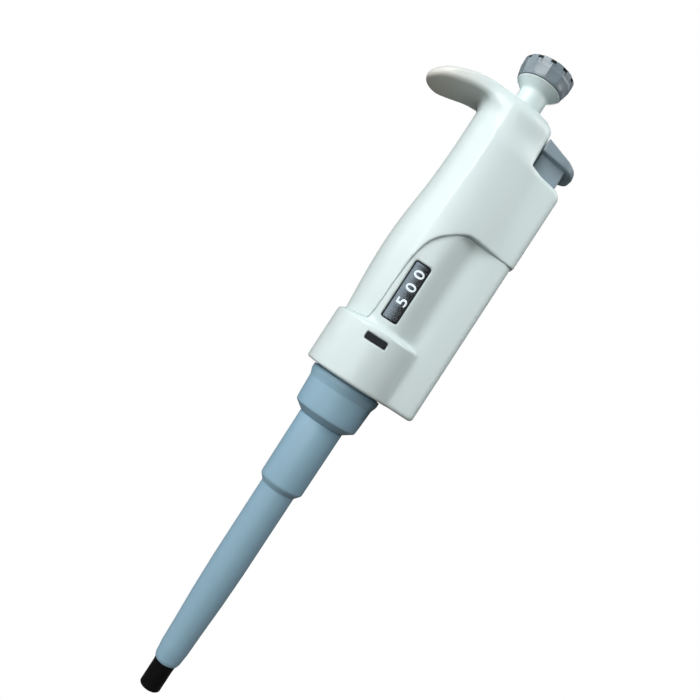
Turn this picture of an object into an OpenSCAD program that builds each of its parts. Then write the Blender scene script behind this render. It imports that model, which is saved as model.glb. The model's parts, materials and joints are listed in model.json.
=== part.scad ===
// Adjustable air-displacement micropipette, 100 to 1000 microlitres, with its setting at 500.
// Millimetres. +Z runs up the plunger axis, the display faces -Y, the finger hook points to -X
// and the tip ejector is on the +X side. The origin is the centre of the nozzle's end face.

/* [Tip cone] */
// Radius of the cylindrical land that a disposable tip seals on
land_r = 3.55; // [3.45:0.05:3.6]
// Length of the land
land_len = 7.5; // [6:0.5:8]
// Radius of the orifice and the air channel
channel_r = 1.2; // [0.8:0.1:1.6]

/* [Cylinder and piston] */
// Radius of the piston, whose area of 100 square millimetres gives 100 microlitres a millimetre
piston_r = 5.642; // [5.5:0.002:5.65]
// Radius of the cylinder's bore
cylinder_r = 5.9; // [5.75:0.05:6]
// Outer radius of the cylinder
cylinder_out_r = 6.55; // [6.45:0.05:6.6]

/* [Ejector] */
// Outer radius of the bell under the housing
bell_r = 11.2; // [11:0.1:11.4]
// Distance of the ejector rod from the plunger axis
rod_x = 19.6; // [19.4:0.1:19.8]
// Radius of the ejector rod
rod_r = 1.3; // [1.1:0.1:1.3]
// Half width of the thumb plate
thumb_half = 8.0; // [7:0.5:8]

/* [Housing] */
// Radius of the round collar at the foot of the housing
collar_r = 15.3; // [15.2:0.1:16]
// Radius of the round cavity
cavity_r = 12.4; // [12.3:0.05:12.5]
// Half thickness of the side fin
fin_half = 8.1; // [8.1:0.1:8.6]
// Outer face of the lower housing's fin
fin_x = 23.0; // [22.9:0.1:23.4]
// Outer face of the upper handle's fin
upper_fin_x = 23.7; // [23.4:0.1:24]
// Half thickness of the fin's cavity
fin_cavity_half = 6.8; // [6.7:0.05:6.9]

/* [Finger hook] */
// Tip of the finger hook, measured from the plunger axis
hook_reach = 32.1; // [30:0.1:34]
// Half width of the finger hook
hook_half = 9.5; // [8:0.5:10.5]

/* [Display] */
// Half width of the display opening
window_half = 2.9; // [2.7:0.05:3.8]
// Lower end of the display opening
window_z0 = 135.7; // [134.5:0.05:136]
// Upper end of the display opening
window_z1 = 155.9; // [155.5:0.05:156.5]

/* [Counter] */
// Radius of the number drums
drum_r = 11.0; // [10.8:0.05:11]
// Height of a drum
drum_h = 4.5; // [4.3:0.05:4.5]
// Distance from one drum to the next
drum_pitch = 4.65; // [4.6:0.01:4.65]
// Tooth size of the carry gears, as pitch diameter over tooth count
gear_module = 0.95; // [0.93:0.01:0.95]
// Teeth on a drum's gear band
drum_teeth = 20;
// Teeth on a carry pinion
pinion_teeth = 8;

/* [Knob] */
// Radius of the knob's neck
neck_r = 4.9; // [4.7:0.05:4.9]
// Radius of the ring at its foot
ring_foot_r = 7.7; // [7.5:0.1:8]
// Radius of the ring near its top
ring_top_r = 8.7; // [8.4:0.1:8.8]
// Flutes around the ring
flutes = 12; // [8:1:14]
// Width across the flats of the hexagonal shaft
hex_flats = 5.0; // [4.6:0.1:5]

/* [Hidden] */
$fn = 64;

// Clearances: between parts that only meet, between parts that run, and the overshoot of cuts
meet = 0.02;
run = 0.05;
cut = 1;

// Heights of the outer shells
housing_z0 = 113.6;
collar_top = 131.6;
seam_z = 172;
seam_gap = 0.2;
cavity_top = 203;
dome_z = 214.3;
dish_z = 209.6;

// The dome is centred a little towards the hook
dome_x = -0.7;
dome_r = 11.7;

// Flat back of the dome, both ends and corner radius of the thumb plate, half width of its web
dome_back_x = 11;
plate_x0 = 11.3;
plate_x1 = 24.4;
plate_corner_r = 6.5;
web_half = 5.2;

// Heights of the cage and the counter
cage_z0 = 133.5;
plate_t = 2;
drum_z0 = 135.6;
cage_z1 = 155;
plate_r = 12.2;
tab_x = 15.2;
tab_half = 6.5;
screw_post = [11.2, 5.5];

// Gears
pressure_angle = 25;
pinion_x = gear_module * (drum_teeth + pinion_teeth) / 2 + 0.05;
axle_r = 0.8;
band_h = 1.3;
pinion_h = 1.1;
backlash = 0.12;

// Wall of the tip cone and of the ejector sleeve, as heights and radii
cone_steps = [[9.4, 3.65], [22, 4.0], [33, 4.4], [45, 4.65], [75, 4.75]];
sleeve_bore = [[9.6, 3.8], [22, 4.15], [33, 4.6], [45, 4.85], [73, 4.95]];
sleeve_skin = [[9.6, 4.0], [10.7, 4.3], [12.3, 4.6], [15, 4.75], [22, 5.0], [33, 5.5],
    [38, 5.7], [45, 5.8], [73.7, 5.9], [76.5, 7.6], [98.5, 7.7]];
flange_z = 104;
tube_z = 106;
chassis_bore_r = 8.7;

// Grip of the upper handle and of the lower housing, as heights and radii
grip_lower = [[133, 13.3], [141, 13.9], [148, 14.3], [154, 14.5], [160, 14.6], [167, 14.2]];
grip_upper = [[179, 13.1], [187, 12.5], [195, 12.06], [199.4, 12.2]];
grip_seam_r = 13.75;

hex_r = hex_flats / 2 / cos(30);

// A point of an outline of heights and radii becomes a point of a turned profile
function turned(steps) = [for (s = steps) [s[1], s[0]]];

// Points of an arc, from angle a to angle b in n steps
function arc(x, y, r, a, b, n) = [for (i = [0:n]) [x + r * cos(a + (b - a) * i / n), y + r * sin(a + (b - a) * i / n)]];

module turn(points) rotate_extrude() polygon(points);

module tube(r_out, r_in, z0, z1) {
    translate([0, 0, z0]) difference() {
        cylinder(r = r_out, h = z1 - z0);
        translate([0, 0, -cut]) cylinder(r = r_in, h = z1 - z0 + 2 * cut);
    }
}

module rod(r, z0, z1, at = [0, 0]) {
    translate([at[0], at[1], z0]) cylinder(r = r, h = z1 - z0);
}

module hex_rod(r, z0, z1) {
    translate([0, 0, z0]) cylinder(r = r, h = z1 - z0, $fn = 6);
}

// An outline in X and Z, made as thick as 2 * half across Y
module side_plate(half, points) {
    rotate([90, 0, 0]) linear_extrude(height = 2 * half, center = true) polygon(points);
}

// A tongue from x = 0 to x_end with rounded outer corners
module tongue(x_end, half, r) {
    square_end = x_end - r;
    translate([0, -half]) square([square_end, 2 * half]);
    translate([0, r - half]) square([x_end, 2 * (half - r)]);
    for (side = [-1, 1]) translate([square_end, side * (half - r)]) circle(r = r);
}

module fin_block(x_end, half, r, z0, z1) {
    translate([0, 0, z0]) linear_extrude(height = z1 - z0) tongue(x_end, half, r);
}

// Cavity of the fin: it takes the ejector rod and the carry pinions
module fin_cavity(z0, z1, x_end = 21.7) {
    translate([0, -fin_cavity_half, z0]) cube([x_end, 2 * fin_cavity_half, z1 - z0]);
}

// A coil of round wire: rings of six points placed along a helix, joined ring to ring
module coil(r, wire_r, z0, z1, turns) {
    steps = round(turns * 18);
    sides = 6;
    rise = z1 - z0 - 2 * wire_r;
    points = [for (i = [0:steps]) for (k = [0:sides - 1])
        let (a = 360 * turns * i / steps, b = 360 * k / sides, q = r + wire_r * cos(b))
        [q * cos(a), q * sin(a), z0 + wire_r + rise * i / steps + wire_r * sin(b)]];
    side_faces = [for (i = [0:steps - 1]) for (k = [0:sides - 1])
        let (n = (k + 1) % sides)
        [i * sides + k, (i + 1) * sides + k, (i + 1) * sides + n, i * sides + n]];
    start_face = [for (k = [0:sides - 1]) k];
    end_face = [for (k = [sides - 1:-1:0]) steps * sides + k];
    polyhedron(points = points, faces = concat(side_faces, [start_face, end_face]));
}

// Involute gears. The half thickness of a tooth at a radius is an angle about the tooth's middle.
function involute(a) = tan(a) * 180 / PI - a;
function tooth_half(teeth, r) =
    let (pitch_r = gear_module * teeth / 2, base_r = pitch_r * cos(pressure_angle))
    90 / teeth - backlash / 2 / pitch_r * 180 / PI + involute(pressure_angle)
        - involute(acos(min(1, base_r / max(r, base_r))));
function gear_outline(teeth, root_r, tip_r) =
    let (base_r = gear_module * teeth / 2 * cos(pressure_angle),
         radii = [root_r, max(base_r, root_r), (base_r + tip_r) / 2, tip_r],
         last = len(radii) - 1)
    [for (t = [0:teeth - 1]) for (i = [0:2 * last + 1])
        let (r = radii[i <= last ? i : 2 * last + 1 - i], side = i <= last ? -1 : 1,
             a = 360 * t / teeth + side * tooth_half(teeth, r))
        [r * cos(a), r * sin(a)]];

// ---------------------------------------------------------------- shells

module upper_handle() color([0.87, 0.91, 0.90]) difference() {
    union() {
        turn(concat([[0, seam_z + seam_gap], [grip_seam_r, seam_z + seam_gap]], turned(grip_upper), [[0, 199.4]]));
        // spigot into the lower housing
        tube(plate_r, 10.9, 170 + meet, seam_z + seam_gap + cut);
        intersection() {
            side_plate(fin_half, concat([[0, seam_z + seam_gap], [upper_fin_x, seam_z + seam_gap]],
                arc(upper_fin_x - 3, 194.8, 3, 0, 83, 5), [[11, 199.4], [0, 199.4]]));
            fin_block(upper_fin_x, fin_half, 2, seam_z, 200);
        }
        translate([dome_x, 0, 0]) turn(concat([[0, 197], [dome_r, 197]],
            arc(dome_r - 4, dome_z - 4, 4, 0, 90, 6), [[0, dome_z]]));
        // flat back of the dome, which the thumb plate slides along
        intersection() {
            side_plate(thumb_half, concat([[0, 195], [dome_back_x, 195]],
                arc(dome_back_x - 3.2, dome_z - 3.7, 3.2, 0, 90, 5), [[0, dome_z - 0.5]]));
            fin_block(dome_back_x, thumb_half, 1.5, 195, dome_z);
        }
        finger_hook();
    }
    // main cavity, spigot bore and dome seat
    rod(10, seam_z - 5, cavity_top);
    rod(7 + meet, cavity_top - cut, dish_z);
    rod(neck_r + 0.4, dish_z - cut, dish_z + cut);
    turn([[0, 210], [6.3, 210], [8.2, 212], [8.8, dome_z + meet], [8.8, 217], [0, 217]]);
    fin_cavity(170, 196, 22.2);
    // slot for the web of the thumb plate
    translate([dome_back_x + 0.1, -web_half - 0.3, 195]) cube([10.5, 2 * web_half + 0.6, 6]);
}

module finger_hook() {
    intersection() {
        side_plate(hook_half, [[-7, 203], [-7, 214], [-10.5, 215.8], [-13.5, 215.9], [-17.5, 215],
            [-23.8, 213.2], [-28.5, 211], [-31.2, 209.9], [-hook_reach, 208.9], [-31.5, 207.9],
            [-28.5, 207.6], [-23.8, 208.8], [-17.5, 210.4], [-15, 209.7], [-13.2, 207.6], [-12.3, 203]]);
        translate([-hook_reach + 12.1, 0, 200]) cylinder(r = 12.1, h = 20);
    }
    translate([-10, 0, 203]) intersection() {
        cylinder(r = 6, h = 11);
        translate([-3, -hook_half, 0]) cube([5, 2 * hook_half, 11]);
    }
}

module lower_housing() color([0.87, 0.91, 0.90]) difference() {
    union() {
        turn(concat([[0, housing_z0], [collar_r - 0.6, housing_z0], [collar_r, housing_z0 + 0.6], [collar_r, collar_top]],
            turned(grip_lower), [[grip_seam_r, seam_z], [0, seam_z]]));
        fin_block(fin_x, fin_half, 2, housing_z0, seam_z);
    }
    // mouth for the bell, ledge under the cage, and the cage's own bore
    rod(13.6, housing_z0 - cut, 125);
    rod(11, 125 - cut, cage_z0 + cut);
    rod(cavity_r, cage_z0, seam_z + cut);
    difference() {
        fin_cavity(115.2, seam_z + cut);
        // shelf that the ejector spring stands on
        translate([17.2, -fin_cavity_half - cut, 164]) cube([5, 2 * fin_cavity_half + 2 * cut, 3]);
    }
    rod(rod_r + 0.1, 163, 168, [rod_x, 0]);
    translate([-window_half, -collar_r - cut, window_z0])
        cube([2 * window_half, collar_r, window_z1 - window_z0]);
    slot_shape(0.05, 1.8);
}

// The slot's outline: a bar with round ends, sunk into the collar from the front
module slot_shape(grow, depth) {
    half_h = 1.1 + grow;
    translate([0.25, -collar_r + depth, 128.8]) rotate([90, 0, 0]) linear_extrude(height = depth + cut) {
        square([4.8, 2 * half_h], center = true);
        for (side = [-1, 1]) translate([side * 2.4, 0]) circle(r = half_h);
    }
}

module slot_plug() color([0.06, 0.06, 0.07]) intersection() {
    slot_shape(0, 1.75);
    rod(collar_r - 0.35, 120, collar_top);
}

module display_lens() color([0.75, 0.8, 0.8, 0.5]) intersection() {
    difference() {
        rod(14.1, window_z0 + run, window_z1 - run);
        rod(cavity_r + run, window_z0, window_z1);
    }
    translate([run - window_half, -collar_r, window_z0 + run])
        cube([2 * (window_half - run), collar_r, window_z1 - window_z0 - 2 * run]);
}

// ---------------------------------------------------------------- knob

ring_z0 = 224.2;
ring_z1 = 230.4;
ring_seat_z = 227.4;

module knob_hub() color([0.87, 0.91, 0.90]) turn([[3.2, 196], [neck_r, 196], [neck_r, 221.4], [7.4, 223.6],
    [ring_foot_r, ring_z0 - meet], [6.2, ring_z0 - meet], [6.2, ring_seat_z], [3.2, ring_seat_z]]);

module knob_ring() color([0.60, 0.64, 0.67]) difference() {
    turn([[6.2 + meet, ring_z0], [ring_foot_r, ring_z0], [8.2, 225.2], [ring_top_r, 227.8],
        [ring_top_r, ring_z1 - 0.5], [ring_top_r - 0.5, ring_z1], [7.2, ring_z1], [7.2, ring_seat_z + 1],
        [6.2 + meet, ring_seat_z + 1]]);
    for (i = [0:flutes - 1]) rotate([0, 0, 360 * i / flutes + 11]) {
        // finger flutes around the side, and the notches in the rim between them
        rod(1.5, ring_z0 + 0.8, ring_z1 + cut, [ring_top_r + 1, 0]);
        rotate([0, 0, 180 / flutes]) translate([6.5, -0.5, ring_z1 - 1]) cube([3, 1, 3]);
    }
}

module knob_cap() color([0.07, 0.07, 0.08]) turn([[0, ring_seat_z + meet], [6.1, ring_seat_z + meet],
    [6.1, ring_seat_z + 1 + meet], [7.1, ring_seat_z + 1 + meet], [7.1, ring_z1 - 0.7], [6.5, ring_z1 - 0.3],
    [0, ring_z1 - 0.3]]);

module knob_shaft() color("silver") difference() {
    hex_rod(hex_r, 128, ring_seat_z - meet);
    translate([0, 0, 127]) cylinder(r = 0.8, h = 3);
}

module shaft_collar() color("gray") difference() {
    rod(4, 155, 157);
    hex_rod(hex_r + meet, 154, 158);
}

// ---------------------------------------------------------------- setting screw

module stop_washer() color("goldenrod") tube(4.9, hex_r + 0.1, 157 + meet, 158);

// The thread is drawn smooth, at its crest
module volume_screw() color("silver") difference() {
    rod(5, 158 + meet, 182);
    rod(hex_r + 0.1, 157, 180);
    hex_rod(hex_r + run, 179, 183);
}

// Nut, with a skirt that stands on the counter's top plate
module thread_nut() color("goldenrod") difference() {
    union() {
        rod(plate_r, cage_z1 + plate_t + meet, 170);
        key_tab(160, 163);
    }
    rod(5 + run, 150, 171);
    rod(11.2, 150, 160);
    for (a = [90, 180, 270]) rotate([0, 0, a]) rod(2, 150, 171, [8.6, 0]);
    // pockets over the heads of the cage's screws
    screw_posts(1.15, 150, 158.2);
}

module top_bush() color("ivory") tube(7, neck_r + run, cavity_top + 1, dish_z - meet);

// ---------------------------------------------------------------- cage and counter

// Tab that keys a plate in the fin's cavity
module key_tab(z0, z1) {
    translate([0, -tab_half, z0]) cube([tab_x, 2 * tab_half, z1 - z0]);
}

module screw_posts(r, z0, z1) {
    for (side = [-1, 1]) rod(r, z0, z1, [screw_post[0], side * screw_post[1]]);
}

module chassis() color([0.30, 0.32, 0.34]) difference() {
    union() {
        turn([[chassis_bore_r, tube_z + meet], [9, tube_z + meet], [9, 112 + meet], [9.9, 112 + meet],
            [9.9, cage_z0 + cut], [chassis_bore_r, cage_z0 + cut]]);
        rod(plate_r, cage_z0 + meet, cage_z0 + plate_t);
        key_tab(cage_z0 + meet, cage_z0 + plate_t);
        rotate([0, 0, 34]) rotate_extrude(angle = 186)
            translate([11.25, cage_z0 + cut]) square([plate_r - 11.35, cage_z1 - cage_z0 - cut]);
        screw_posts(1, cage_z0 + cut, cage_z1);
    }
    rod(4, cage_z0 - cut, cage_z0 + plate_t + cut);
    rod(6.9, cage_z0 + 0.5, cage_z0 + plate_t + cut);
    rod(axle_r + meet, cage_z0 + 0.6, cage_z0 + plate_t + cut, [pinion_x, 0]);
    screw_posts(0.5 + meet, cage_z1 - 4, cage_z1 + cut);
}

module counter_top_plate() color([0.30, 0.32, 0.34]) difference() {
    union() {
        rod(plate_r, cage_z1 + meet, cage_z1 + plate_t);
        key_tab(cage_z1 + meet, cage_z1 + plate_t);
    }
    rod(5.6, cage_z1 - cut, cage_z1 + plate_t + cut);
    rod(axle_r + meet, cage_z1 - cut, cage_z1 + plate_t - 0.5, [pinion_x, 0]);
    screw_posts(0.5 + meet, cage_z1 - cut, cage_z1 + plate_t + cut);
}

module chassis_screws() color("silver") {
    head_z = cage_z1 + plate_t + meet;
    screw_posts(0.5, cage_z1 - 3.5, head_z + 0.4);
    difference() {
        screw_posts(0.95, head_z, head_z + 0.8);
        for (side = [-1, 1]) translate([screw_post[0] - 1.2, side * screw_post[1] - 0.12, head_z + 0.45]) cube([2.4, 0.24, 1]);
    }
}

module drive_sleeve() color("white") difference() {
    rod(6, cage_z0 + 0.55, 152.8);
    rod(4.3, 138, 153);
    hex_rod(hex_r + run, cage_z0, 139);
}

module friction_ring() color("black") translate([0, 0, cage_z0 + 1.2]) rotate_extrude() translate([6.46, 0]) circle(r = 0.4);

// A number drum, with or without a gear band under its number face
module drum(index, geared) {
    z0 = drum_z0 + index * drum_pitch;
    root_r = 8.4;
    tip_r = gear_module * (drum_teeth / 2 + 0.7);
    difference() {
        union() {
            rod(drum_r, z0 + (geared ? band_h : 0), z0 + drum_h);
            if (geared) translate([0, 0, z0]) linear_extrude(height = band_h + 0.1)
                polygon(gear_outline(drum_teeth, root_r, tip_r));
        }
        rod(6 + (geared ? run : meet), z0 - cut, z0 + drum_h + cut);
    }
}

module thousands_wheel() color([0.12, 0.12, 0.13]) drum(0, true);
module hundreds_wheel() color([0.12, 0.12, 0.13]) drum(1, true);
module tens_wheel() color([0.12, 0.12, 0.13]) drum(2, true);
module units_wheel() color([0.12, 0.12, 0.13]) drum(3, false);

// A pinion beside the gear band of the drum it carries, with a gap facing the drum's tooth
module carry_pinion(index) {
    z0 = drum_z0 + index * drum_pitch + (band_h - pinion_h) / 2;
    translate([pinion_x, 0, z0]) rotate([0, 0, 180 / pinion_teeth]) difference() {
        linear_extrude(height = pinion_h)
            polygon(gear_outline(pinion_teeth, 3.0, gear_module * (pinion_teeth / 2 + 0.85)));
        translate([0, 0, -cut]) cylinder(r = axle_r + run, h = pinion_h + 2 * cut);
    }
}

module carry_pinion_thousands() color("ivory") carry_pinion(0);
module carry_pinion_hundreds() color("ivory") carry_pinion(1);
module carry_pinion_tens() color("ivory") carry_pinion(2);

module pinion_axle() color("silver") rod(axle_r, cage_z0 + 0.65, cage_z1 + plate_t - 0.55, [pinion_x, 0]);

// ---------------------------------------------------------------- piston and cylinder

module piston() color("gainsboro") {
    rod(piston_r, 92, 125 + cut);
    rod(8.3, 125, 127.95);
}

module return_spring() color("silver") coil(6.9, 0.4, 110.4, 124.95, 5);
module blowout_spring() color("silver") coil(8.15, 0.3, 110.4, 112.9, 2.5);
module blowout_washer() color("silver") tube(8.6, 7.65, 113, 113.8);

module piston_seal() color("white") tube(8.6, piston_r + run, tube_z + meet, 107.5);
module piston_o_ring() color("black") translate([0, 0, 108.3]) rotate_extrude() translate([7, 0]) circle(r = 0.75);
module seal_retainer() color("silver") tube(8.6, piston_r + run, 109.1, 110.3);

module tip_cone() color([0.09, 0.10, 0.11]) difference() {
    turn(concat([[0, 0], [land_r, 0], [land_r, land_len]], turned(cone_steps),
        [[4.75, 77], [cylinder_out_r, 78.6], [cylinder_out_r, flange_z], [8.6, flange_z], [8.6, tube_z], [0, tube_z]]));
    rod(channel_r, -cut, 81);
    rod(cylinder_r, 80, tube_z + cut);
}

module cone_nut() color([0.25, 0.27, 0.29]) difference() {
    rod(9.9, 102.5, 112);
    rod(cylinder_out_r + run, 102, 105);
    rod(8.6 + run, flange_z - meet, tube_z + cut);
    rod(9 + run, tube_z, 112 + cut);
}

// ---------------------------------------------------------------- ejector

bell_z0 = 98.6;
bell_z1 = 124.5;
arm_z0 = 122;

module ejector_sleeve() color([0.56, 0.65, 0.71]) turn(concat(turned(sleeve_skin), [[7.4, 98.5], [7.4, 101],
    [6.75, 101], [6.75, 76.3]], [for (i = [len(sleeve_bore) - 1:-1:0]) [sleeve_bore[i][1], sleeve_bore[i][0]]]));

module ejector_collar() color([0.56, 0.65, 0.71]) difference() {
    union() {
        turn([[7.45, bell_z0], [7.7, bell_z0], [11.1, 100.8], [bell_r, 101.2], [bell_r, 110], [12.1, 112.6],
            [12.1, 113.2], [bell_r, 113.2], [bell_r, bell_z1], [10.2, bell_z1], [10.2, 101.8], [7.45, 101.8]]);
        translate([10.3, -3, arm_z0]) cube([rod_x - 10.3, 6, bell_z1 - arm_z0]);
        rod(3, arm_z0, bell_z1, [rod_x - 1.2, 0]);
    }
    rod(0.85, arm_z0 - cut, bell_z1 + cut, [rod_x, 0]);
}

module ejector_screw() color("silver") difference() {
    union() {
        rod(0.8, arm_z0 - 0.5, 129, [rod_x, 0]);
        rod(1.5, arm_z0 - 1.1, arm_z0 - meet, [rod_x, 0]);
    }
    translate([rod_x, 0, arm_z0 - 1.2]) cylinder(r = 0.6, h = 0.8, $fn = 6);
}

module ejector_rod() color("silver") difference() {
    rod(rod_r, bell_z1 + meet, 197, [rod_x, 0]);
    rod(0.85, bell_z1, 130, [rod_x, 0]);
}

module rod_clip() color("dimgray") translate([rod_x, 0, 0]) tube(2.3, rod_r + meet, 190, 191.2);

module ejector_spring() color("silver") translate([rod_x, 0, 0]) coil(1.85, 0.25, 167.1, 189.95, 9);

// Thumb plate on a web that slides in the fin's slot
module ejector_button() color([0.52, 0.58, 0.62]) difference() {
    union() {
        intersection() {
            side_plate(thumb_half + cut, [[plate_x0, 205.5], [plate_x0, 209.9], [22, 206.4], [23.6, 205.7],
                [plate_x1, 204.9], [24.2, 203.7], [23.4, 203.15]]);
            fin_block(plate_x1, thumb_half, plate_corner_r, 200, 215);
        }
        translate([plate_x0, -web_half, 192]) cube([9.9, 2 * web_half, 14]);
    }
    rod(rod_r + meet, 191, 197.05, [rod_x, 0]);
}

upper_handle();
lower_housing();
display_lens();
slot_plug();
knob_hub();
knob_ring();
knob_cap();
knob_shaft();
shaft_collar();
stop_washer();
volume_screw();
thread_nut();
top_bush();
chassis();
counter_top_plate();
chassis_screws();
drive_sleeve();
friction_ring();
units_wheel();
tens_wheel();
hundreds_wheel();
thousands_wheel();
carry_pinion_tens();
carry_pinion_hundreds();
carry_pinion_thousands();
pinion_axle();
piston();
return_spring();
blowout_spring();
blowout_washer();
piston_seal();
piston_o_ring();
seal_retainer();
tip_cone();
cone_nut();
ejector_button();
ejector_rod();
rod_clip();
ejector_spring();
ejector_screw();
ejector_collar();
ejector_sleeve();
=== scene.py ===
import json
import math

import bmesh
import bpy
import numpy as np
from mathutils import Matrix, Vector


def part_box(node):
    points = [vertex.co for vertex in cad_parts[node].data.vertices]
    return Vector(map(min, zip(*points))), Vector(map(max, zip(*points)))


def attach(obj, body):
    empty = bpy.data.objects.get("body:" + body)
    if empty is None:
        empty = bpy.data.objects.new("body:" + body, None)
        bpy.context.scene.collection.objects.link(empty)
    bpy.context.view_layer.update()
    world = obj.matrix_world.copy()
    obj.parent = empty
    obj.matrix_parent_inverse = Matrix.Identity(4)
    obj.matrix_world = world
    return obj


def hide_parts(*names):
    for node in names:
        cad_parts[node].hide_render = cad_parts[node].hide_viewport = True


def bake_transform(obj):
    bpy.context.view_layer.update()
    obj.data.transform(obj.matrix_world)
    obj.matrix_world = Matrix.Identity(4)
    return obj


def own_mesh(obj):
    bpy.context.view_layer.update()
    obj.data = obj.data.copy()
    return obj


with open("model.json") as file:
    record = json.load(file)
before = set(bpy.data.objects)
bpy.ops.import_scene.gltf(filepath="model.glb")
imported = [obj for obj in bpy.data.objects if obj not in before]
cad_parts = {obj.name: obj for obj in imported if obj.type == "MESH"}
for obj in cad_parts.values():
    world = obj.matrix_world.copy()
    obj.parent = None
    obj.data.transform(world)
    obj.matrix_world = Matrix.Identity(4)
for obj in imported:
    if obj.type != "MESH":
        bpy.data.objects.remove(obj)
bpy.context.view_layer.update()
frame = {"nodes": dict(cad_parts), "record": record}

# Shape code works in millimetres in the CAD frame, and MM turns a length into Blender's metres.
MM = 0.001


def box_mm(node):
    """Lowest and highest corner of a CAD node, in millimetres."""
    low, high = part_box(node)
    return np.array(low) / MM, np.array(high) / MM


# ---------------------------------------------------------------- places from the frame

HOUSING_LOW, HOUSING_HIGH = box_mm("lower_housing")
HANDLE_LOW, HANDLE_HIGH = box_mm("upper_handle")
BELL_TOP = box_mm("ejector_collar")[1][2]
THUMB_LOW, THUMB_HIGH = box_mm("ejector_button")
LENS_LOW, LENS_HIGH = box_mm("display_lens")
SLOT_LOW, SLOT_HIGH = box_mm("slot_plug")
DRUMS = ["thousands_wheel", "hundreds_wheel", "tens_wheel", "units_wheel"]
DRUM_R = box_mm("units_wheel")[1][0]

COLLAR_R = -HOUSING_LOW[1]
COLLAR_TOP = 132.3
FIN_X = HOUSING_HIGH[0]
UPPER_FIN_X = HANDLE_HIGH[0]
FIN_HALF = 8.1
UPPER_FIN_HALF = 8.6
CROWN_X, CROWN_DEPTH = 12.0, 0.7
DOME_X = -0.7
DOME_R = 11.7
DOME_TOP = 214.3
DOME_BACK_X = 11.0
DOME_BACK_TOP = 213.0
DOME_BACK_HALF = 7.7
WEB_HALF = 5.2
WEB_SLOT_X, WEB_SLOT_LOW, WEB_SLOT_HIGH = 21.5, 190, 204
HOOK_TIP_X = HANDLE_LOW[0]
HOOK_TIP_R = 11.0
HOOK_ROOT_X = -9.0
FIELD_Y = 13.6
ROD_X = 19.6
# inside of the housing: its round room, the wall in front of it, its ledge, mouth and throat
CAVITY_R = 12.4
FRONT_WALL = 1.0
LEDGE_Z = 133.5
SEAM_Z = 172
MOUTH_R, MOUTH_TOP = 13.6, 125
THROAT_R = 11.0
# inside of the upper handle, and of the fin on both shells
UPPER_ROOM_R, UPPER_ROOM_TOP = 10.0, 203
FIN_ROOM_HALF, FIN_ROOM_X = 6.8, 21.6
FIN_ROOM_LOW, FIN_ROOM_HIGH = 115.2, 196
NO_LIMIT = -99.0
# dished top: foot of its cone, direction of the cone's side, rim, neck hole and the bush's seat
DISH_R, DISH_Z = 6.3, 210.0
DISH_SIDE = (0.73, -0.69)
DISH_RIM_R = 8.7
NECK_HOLE_R = 5.3
SEAT_R, SEAT_TOP = 7.02, 209.6
SEAT_LOW = 200

# ---------------------------------------------------------------- smooth solids as signed distances


def smooth_min(a, b, k):
    """Union of two solids, with a fillet about k wide."""
    h = np.clip(0.5 + 0.5 * (b - a) / k, 0, 1)
    return b * (1 - h) + a * h - k * h * (1 - h)


def smooth_max(a, b, k):
    """What two solids share, with an edge softened about k wide."""
    return -smooth_min(-a, -b, k)


def round_edge(a, b, r):
    """Where both a and b are below zero, with a round edge of radius r."""
    pa, pb = a + r, b + r
    outside = np.hypot(np.maximum(pa, 0), np.maximum(pb, 0))
    return outside + np.minimum(np.maximum(pa, pb), 0) - r


def smooth_curve(points, sigma, step=0.2):
    """A function through points (place, value), smoothed over sigma."""
    places, values = np.array(points, float).T
    reach = 4 * sigma
    fine = np.arange(places[0] - reach, places[-1] + reach, step)
    table = np.interp(fine, places, values)
    width = int(reach / step)
    kernel = np.exp(-0.5 * (np.arange(-width, width + 1) * step / sigma) ** 2)
    kernel /= kernel.sum()
    smoothed = np.convolve(np.pad(table, width, mode="edge"), kernel, mode="valid")
    return lambda q: np.interp(q, fine, smoothed)


def path_distance(px, pz, path):
    """Signed distance to a path in X and Z, positive on its left."""
    best = np.full(np.shape(px), 1e9)
    sign = np.ones(np.shape(px))
    for (ax, az), (bx, bz) in zip(path[:-1], path[1:]):
        dx, dz = bx - ax, bz - az
        t = np.clip(((px - ax) * dx + (pz - az) * dz) / (dx * dx + dz * dz), 0, 1)
        ex, ez = px - ax - t * dx, pz - az - t * dz
        d = ex * ex + ez * ez
        nearer = d < best
        best = np.where(nearer, d, best)
        sign = np.where(nearer, np.sign(dx * ez - dz * ex), sign)
    return np.sqrt(best) * sign


def smooth_path(points, passes=3):
    """Chaikin's corner cutting: a soft path between the same ends."""
    path = np.array(points, float)
    for _ in range(passes):
        a, b = path[:-1], path[1:]
        cut = np.empty((2 * len(a), 2))
        cut[0::2] = 0.75 * a + 0.25 * b
        cut[1::2] = 0.25 * a + 0.75 * b
        path = np.vstack([path[:1], cut, path[-1:]])
    return path


# ---------------------------------------------------------------- meshes


def make_object(name, vertices, faces, body, smooth=True):
    """A piece from vertices in millimetres; it moves with body, if one is named."""
    mesh = bpy.data.meshes.new(name)
    mesh.from_pydata((np.asarray(vertices) * MM).tolist(), [], [tuple(int(i) for i in f) for f in faces])
    mesh.validate()
    mesh.update()
    mesh.polygons.foreach_set("use_smooth", [smooth] * len(mesh.polygons))
    piece = bpy.data.objects.new(name, mesh)
    bpy.context.scene.collection.objects.link(piece)
    if body:
        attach(piece, body)
    return piece


def field_gradient(field, points, h=0.02):
    """Slope of the field at each point, by differences over 2 * h."""
    x, y, z = points.T
    g = np.stack([
        field(x + h, y, z) - field(x - h, y, z),
        field(x, y + h, z) - field(x, y - h, z),
        field(x, y, z + h) - field(x, y, z - h),
    ], axis=1) / (2 * h)
    return g


def project(field, points, cell, steps):
    """Pull points onto the surface field = 0, a little at a time."""
    for _ in range(steps):
        value = field(*points.T)
        g = field_gradient(field, points)
        length2 = np.maximum((g * g).sum(axis=1), 0.05)
        move = np.clip(value / length2, -0.5 * cell, 0.5 * cell)
        points = points - g * move[:, None]
    return points


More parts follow.
